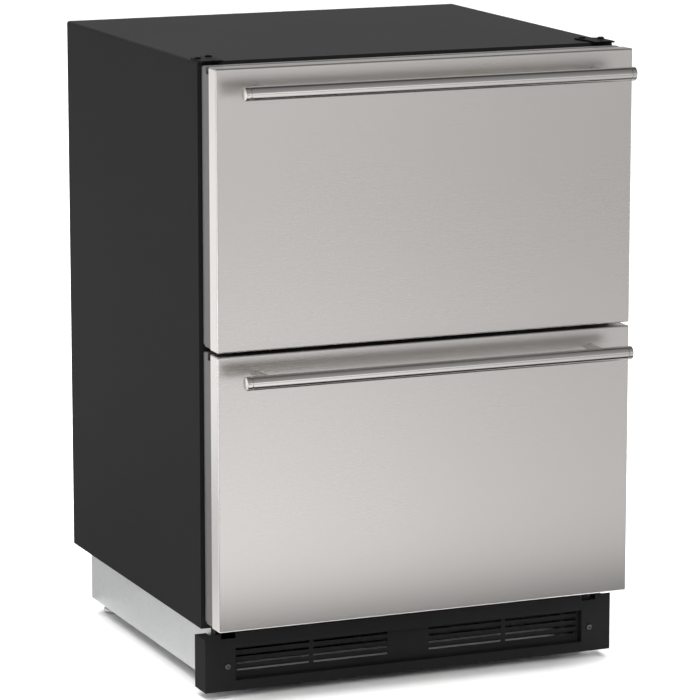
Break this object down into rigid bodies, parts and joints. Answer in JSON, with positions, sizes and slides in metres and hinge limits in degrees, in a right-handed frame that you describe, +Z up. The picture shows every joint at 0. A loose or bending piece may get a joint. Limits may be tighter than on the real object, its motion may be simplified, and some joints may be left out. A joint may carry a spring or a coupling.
{
  "type": "undercounter drawer refrigerator",
  "caption": "Undercounter refrigerator with stainless drawer fronts and bar handles, a black cabinet on a galvanised base, a louvred toe grille and its cooling circuit inside.",
  "frame": {"origin": "on the floor, at the middle of the object's width and of its whole depth from the handle bars' front to the back panel", "axes": "+Z up, drawers open towards -Y, +X to the right when seen from the front"},
  "size_m": [0.608, 0.6554, 0.8721],
  "materials": {
    "black_paint": "satin black powder coat on steel sheet",
    "black_plastic": "matte black moulded plastic",
    "galvanised": "zinc-coated steel sheet, fine spangle",
    "zinc_screw": "bright zinc",
    "dark_screw": "black zinc",
    "foam": "rigid foam, cut face",
    "liner": "dark thermoformed sheet, satin",
    "door_grey": "grey moulded plastic",
    "stainless": "long-grain brushed stainless steel",
    "handle_steel": "fine brushed stainless steel",
    "bin_steel": "dull rolled stainless sheet",
    "gasket": "soft black vinyl",
    "rubber": "black rubber",
    "compressor_paint": "gloss black paint",
    "copper": "drawn copper, slightly dulled",
    "condenser_paint": "dipped black paint",
    "aluminium": "mill finish",
    "fan_plastic": "dark grey moulded plastic",
    "white_plastic": "off-white moulded plastic",
    "lens": "milky diffuser",
    "leg_steel": "zinc-plated steel"
  },
  "bodies": {
    "cabinet": {"outer_wrapper": "black_paint", "back_panel": "galvanised", "cabinet_bottom": "galvanised", "insulation_foam": "foam", "inner_liner": "liner", "front_frame": "black_plastic", "centre_mullion": "black_plastic", "base_frame": "galvanised", "base_pan": "galvanised", "toe_grille": "black_paint", "cabinet_screws": "dark_screw", "top_brackets": "black_paint", "machine_cover": "galvanised", "compressor_shell": "compressor_paint", "compressor_mounts": "rubber", "condenser_coil": "condenser_paint", "condenser_fan_motor": "black_plastic", "condenser_fan_shroud": "black_plastic", "drip_tray": "black_plastic", "drain_tube": "white_plastic", "filter_drier": "copper", "refrigerant_lines": "copper", "evaporator_coil": "aluminium", "evaporator_cover": "liner", "evaporator_fan_motor": "black_plastic", "control_panel": "black_plastic", "light_lens": "lens", "temperature_sensor": "white_plastic", "power_inlet": "rubber", "slide_outer_members": "galvanised"},
    "upper_drawer": {"upper_front_pan": "stainless", "upper_backer_trim": "black_plastic", "upper_inner_door": "door_grey", "upper_door_foam": "foam", "upper_door_liner": "liner", "upper_gasket": "gasket", "upper_handle_bar": "handle_steel", "upper_handle_posts": "handle_steel", "upper_handle_screws": "zinc_screw", "upper_bin": "bin_steel", "upper_slide_inner_members": "galvanised"},
    "upper_slide_middle": {"upper_slide_middle_members": "galvanised"},
    "lower_drawer": {"lower_front_pan": "stainless", "lower_backer_trim": "black_plastic", "lower_inner_door": "door_grey", "lower_door_foam": "foam", "lower_door_liner": "liner", "lower_gasket": "gasket", "lower_handle_bar": "handle_steel", "lower_handle_posts": "handle_steel", "lower_handle_screws": "zinc_screw", "lower_bin": "bin_steel", "lower_slide_inner_members": "galvanised"},
    "lower_slide_middle": {"lower_slide_middle_members": "galvanised"},
    "condenser_fan": {"condenser_fan_blade": "fan_plastic"},
    "evaporator_fan": {"evaporator_fan_blade": "fan_plastic"},
    "leg_front_left_body": {"leg_front_left": "leg_steel"},
    "leg_front_right_body": {"leg_front_right": "leg_steel"},
    "leg_rear_left_body": {"leg_rear_left": "leg_steel"},
    "leg_rear_right_body": {"leg_rear_right": "leg_steel"}
  },
  "joints": [
    {"name": "upper_drawer_slide", "type": "slide", "parent": "cabinet", "child": "upper_drawer", "axis": [0, -1, 0], "range_m": [0, 0.4]},
    {"name": "upper_middle_slide", "type": "slide", "parent": "cabinet", "child": "upper_slide_middle", "axis": [0, -1, 0], "range_m": [0, 0.2]},
    {"name": "lower_drawer_slide", "type": "slide", "parent": "cabinet", "child": "lower_drawer", "axis": [0, -1, 0], "range_m": [0, 0.4]},
    {"name": "lower_middle_slide", "type": "slide", "parent": "cabinet", "child": "lower_slide_middle", "axis": [0, -1, 0], "range_m": [0, 0.2]},
    {"name": "condenser_fan_spin", "type": "hinge", "parent": "cabinet", "child": "condenser_fan", "pos_m": [-0.15, 0.17075, 0.112], "axis": [0, 1, 0], "continuous": true},
    {"name": "evaporator_fan_spin", "type": "hinge", "parent": "cabinet", "child": "evaporator_fan", "pos_m": [0, 0.24175, 0.74], "axis": [0, 1, 0], "continuous": true},
    {"name": "front_left_leg_screw", "type": "slide", "parent": "cabinet", "child": "leg_front_left_body", "axis": [0, 0, -1], "range_m": [0, 0.025]},
    {"name": "front_right_leg_screw", "type": "slide", "parent": "cabinet", "child": "leg_front_right_body", "axis": [0, 0, -1], "range_m": [0, 0.025]},
    {"name": "rear_left_leg_screw", "type": "slide", "parent": "cabinet", "child": "leg_rear_left_body", "axis": [0, 0, -1], "range_m": [0, 0.025]},
    {"name": "rear_right_leg_screw", "type": "slide", "parent": "cabinet", "child": "leg_rear_right_body", "axis": [0, 0, -1], "range_m": [0, 0.025]}
  ],
  "couplings": [
    {"joint": "upper_middle_slide", "follows": "upper_drawer_slide", "ratio": 0.5},
    {"joint": "lower_middle_slide", "follows": "lower_drawer_slide", "ratio": 0.5}
  ]
}
